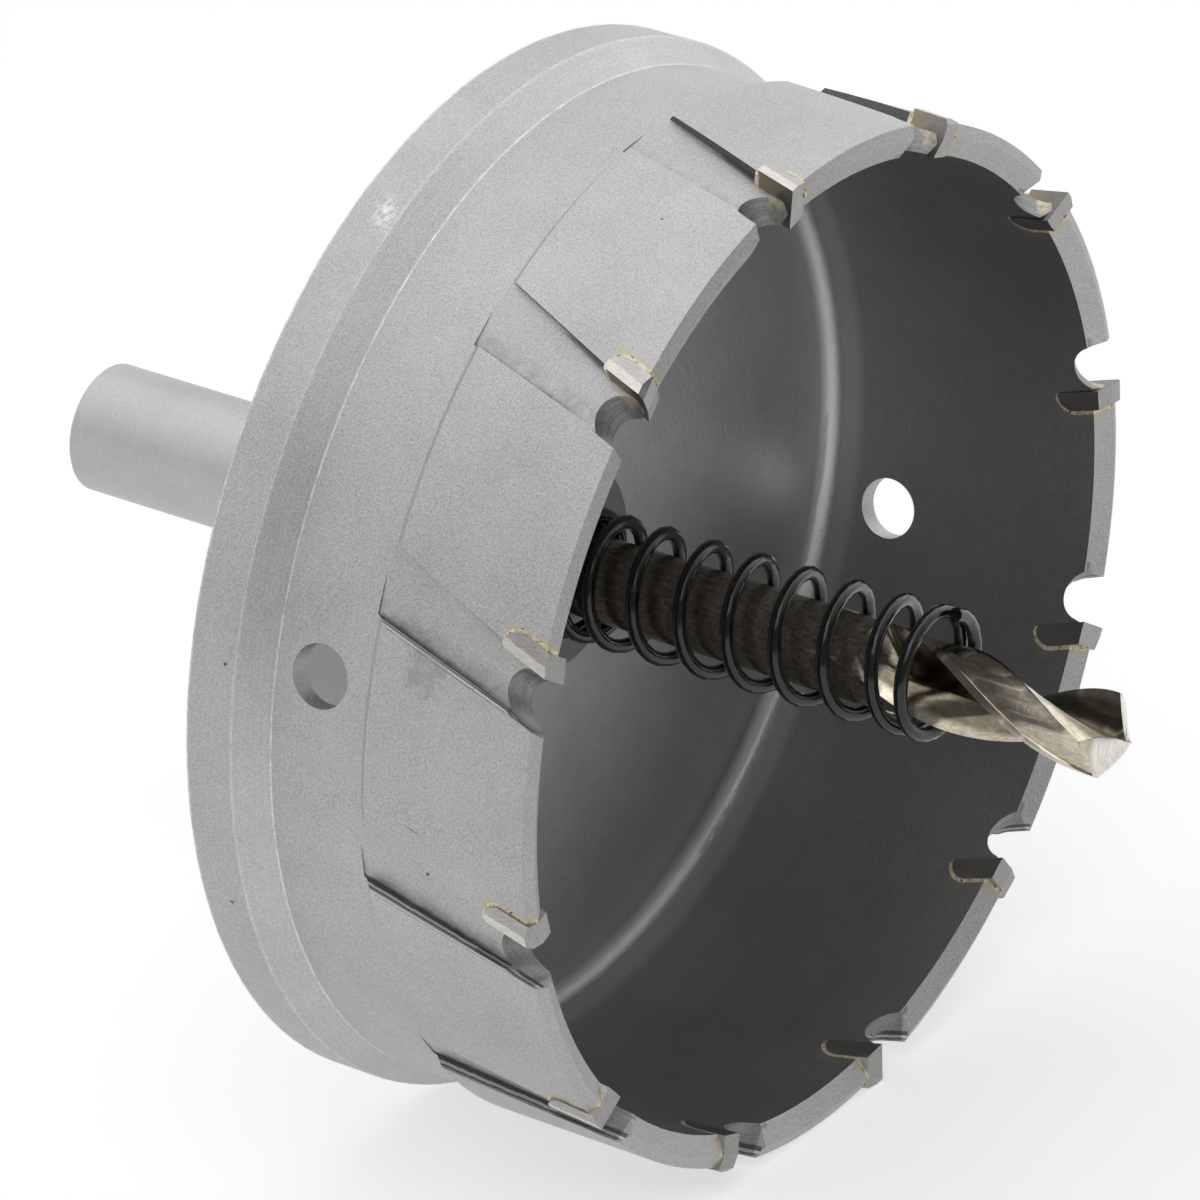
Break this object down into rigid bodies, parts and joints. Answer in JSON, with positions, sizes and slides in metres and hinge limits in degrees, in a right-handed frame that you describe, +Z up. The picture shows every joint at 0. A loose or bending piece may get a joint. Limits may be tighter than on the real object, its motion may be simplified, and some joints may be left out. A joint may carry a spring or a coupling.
{
  "type": "hole cutter",
  "caption": "Round cup-shaped hole cutter with carbide-tipped teeth, flange, plain round shank, pilot drill and ejector spring.",
  "frame": {"origin": "centre of the bounding box's bottom face, on the ground that the cutter rests on", "axes": "+X from the shank towards the pilot drill, along the ground; +Z up; the cutter's own axis lies in the XZ plane and dips 2.13 degrees towards the drill"},
  "size_m": [0.1162, 0.1014, 0.1015],
  "materials": {
    "blasted_steel": "fine matte, bead blasted",
    "turned_steel": "fine turned, satin",
    "tool_steel": "polished high-speed steel with a straw tint",
    "blackened_screw": "black oxide",
    "black_spring": "gloss black",
    "carbide": "ground, satin",
    "braze": "pale, slightly rough"
  },
  "bodies": {
    "root": {"cutter_body": "blasted_steel", "arbor": "turned_steel", "pilot_drill": "tool_steel", "grub_screw": "blackened_screw", "ejector_spring": "black_spring", "carbide_tip_01": "carbide", "carbide_tip_02": "carbide", "carbide_tip_03": "carbide", "carbide_tip_04": "carbide", "carbide_tip_05": "carbide", "carbide_tip_06": "carbide", "carbide_tip_07": "carbide", "carbide_tip_08": "carbide", "carbide_tip_09": "carbide", "carbide_tip_10": "carbide", "carbide_tip_11": "carbide", "carbide_tip_12": "carbide", "braze_seam_01": "braze", "braze_seam_02": "braze", "braze_seam_03": "braze", "braze_seam_04": "braze", "braze_seam_05": "braze", "braze_seam_06": "braze", "braze_seam_07": "braze", "braze_seam_08": "braze", "braze_seam_09": "braze", "braze_seam_10": "braze", "braze_seam_11": "braze", "braze_seam_12": "braze"}
  },
  "joints": []
}
